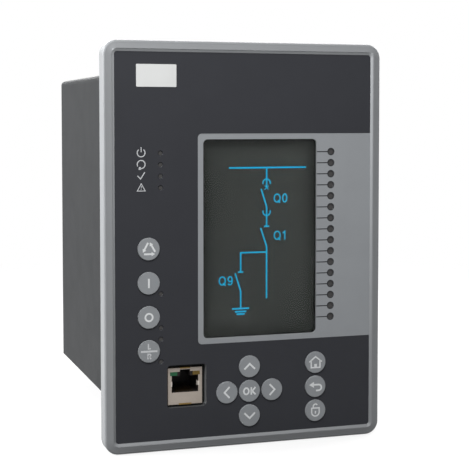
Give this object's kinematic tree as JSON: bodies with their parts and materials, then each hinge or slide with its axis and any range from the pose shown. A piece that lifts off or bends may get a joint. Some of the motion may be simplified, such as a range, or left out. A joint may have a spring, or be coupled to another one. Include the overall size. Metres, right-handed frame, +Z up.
{
  "type": "protection relay",
  "caption": "Panel-mounted protection relay with a bordered front, display, round keys, status lights, network socket, sheet-metal case and rear terminal modules.",
  "frame": {"origin": "middle of the front frame, on the panel plane that the frame's rear rim seats on", "axes": "+X to the right as seen from the front, +Y rearwards through the panel cut-out, +Z up"},
  "size_m": [0.127, 0.1888, 0.177],
  "materials": {
    "frame_silver": "satin silver paint on moulded plastic",
    "overlay_dark": "fine matt printed film",
    "field_silver": "fine matt printed film",
    "window_clear": "clear pane",
    "lcd_dark": "dark display face",
    "lcd_metal": "thin pressed sheet",
    "backlight_white": "white diffuser",
    "board_green": "solder-resist green",
    "board_black": "solder-resist black",
    "steel": "zinc plated",
    "light_guide": "smoked clear plastic",
    "lamp": "small lamp body",
    "port_metal": "tinned sheet",
    "port_black": "black moulding",
    "brass": "gold plated or brass",
    "light_green": "green window",
    "light_amber": "amber window",
    "key_grey": "satin grey key",
    "gasket": "foam rubber",
    "case_grey": "satin grey powder coat",
    "plate_metal": "plain anodised sheet",
    "terminal_green": "green moulding",
    "terminal_black": "black moulding",
    "guide_black": "black moulding",
    "socket_ivory": "ivory moulding",
    "ribbon_grey": "flat cable",
    "relay_ivory": "ivory covers",
    "transformer": "varnished core and coil"
  },
  "bodies": {
    "relay": {"front_frame": "frame_silver", "front_overlay": "overlay_dark", "display_field": "field_silver", "display_window": "window_clear", "lcd_frame": "lcd_metal", "lcd_panel": "lcd_dark", "lcd_backlight": "backlight_white", "front_board": "board_black", "board_screws": "steel", "key_domes": "steel", "alarm_light_bar": "light_guide", "status_light_bars": "light_guide", "board_lights": "lamp", "port_shield": "port_metal", "port_insert": "port_black", "port_contacts": "brass", "port_light_green": "light_green", "port_light_amber": "light_amber", "port_board": "board_black", "port_pillars": "steel", "panel_gasket": "gasket", "frame_screws": "steel", "case_shell": "case_grey", "case_floor": "case_grey", "link_connectors": "guide_black", "link_ribbon": "ribbon_grey", "backplane": "board_green", "backplane_sockets": "socket_ivory", "card_guides": "guide_black", "module_cards": "board_green", "card_headers": "terminal_green", "card_relays": "relay_ivory", "card_transformers": "transformer", "plate_processor": "plate_metal", "plate_inputs": "plate_metal", "plate_outputs": "plate_metal", "plate_voltage": "plate_metal", "plate_current": "plate_metal", "plug_supply": "terminal_green", "plug_inputs": "terminal_green", "plug_outputs": "terminal_green", "plug_voltage": "terminal_green", "block_current": "terminal_black", "terminal_screws": "steel", "plate_screws": "steel", "earth_terminal": "brass", "rear_port_shield": "port_metal", "rear_port_insert": "port_black"},
    "select_key": {"key_select": "key_grey"},
    "close_key": {"key_close": "key_grey"},
    "open_key": {"key_open": "key_grey"},
    "local_remote_key": {"key_local_remote": "key_grey"},
    "up_key": {"key_up": "key_grey"},
    "left_key": {"key_left": "key_grey"},
    "ok_key": {"key_ok": "key_grey"},
    "right_key": {"key_right": "key_grey"},
    "down_key": {"key_down": "key_grey"},
    "home_key": {"key_home": "key_grey"},
    "back_key": {"key_back": "key_grey"},
    "lock_key": {"key_lock": "key_grey"}
  },
  "joints": [
    {"name": "select_key_press", "type": "slide", "parent": "relay", "child": "select_key", "axis": [0, 1, 0], "range_m": [0, 0.0005], "stiffness_N_per_m": 1500},
    {"name": "close_key_press", "type": "slide", "parent": "relay", "child": "close_key", "axis": [0, 1, 0], "range_m": [0, 0.0005], "stiffness_N_per_m": 1500},
    {"name": "open_key_press", "type": "slide", "parent": "relay", "child": "open_key", "axis": [0, 1, 0], "range_m": [0, 0.0005], "stiffness_N_per_m": 1500},
    {"name": "local_remote_key_press", "type": "slide", "parent": "relay", "child": "local_remote_key", "axis": [0, 1, 0], "range_m": [0, 0.0005], "stiffness_N_per_m": 1500},
    {"name": "up_key_press", "type": "slide", "parent": "relay", "child": "up_key", "axis": [0, 1, 0], "range_m": [0, 0.0005], "stiffness_N_per_m": 1500},
    {"name": "left_key_press", "type": "slide", "parent": "relay", "child": "left_key", "axis": [0, 1, 0], "range_m": [0, 0.0005], "stiffness_N_per_m": 1500},
    {"name": "ok_key_press", "type": "slide", "parent": "relay", "child": "ok_key", "axis": [0, 1, 0], "range_m": [0, 0.0005], "stiffness_N_per_m": 1500},
    {"name": "right_key_press", "type": "slide", "parent": "relay", "child": "right_key", "axis": [0, 1, 0], "range_m": [0, 0.0005], "stiffness_N_per_m": 1500},
    {"name": "down_key_press", "type": "slide", "parent": "relay", "child": "down_key", "axis": [0, 1, 0], "range_m": [0, 0.0005], "stiffness_N_per_m": 1500},
    {"name": "home_key_press", "type": "slide", "parent": "relay", "child": "home_key", "axis": [0, 1, 0], "range_m": [0, 0.0005], "stiffness_N_per_m": 1500},
    {"name": "back_key_press", "type": "slide", "parent": "relay", "child": "back_key", "axis": [0, 1, 0], "range_m": [0, 0.0005], "stiffness_N_per_m": 1500},
    {"name": "lock_key_press", "type": "slide", "parent": "relay", "child": "lock_key", "axis": [0, 1, 0], "range_m": [0, 0.0005], "stiffness_N_per_m": 1500}
  ]
}
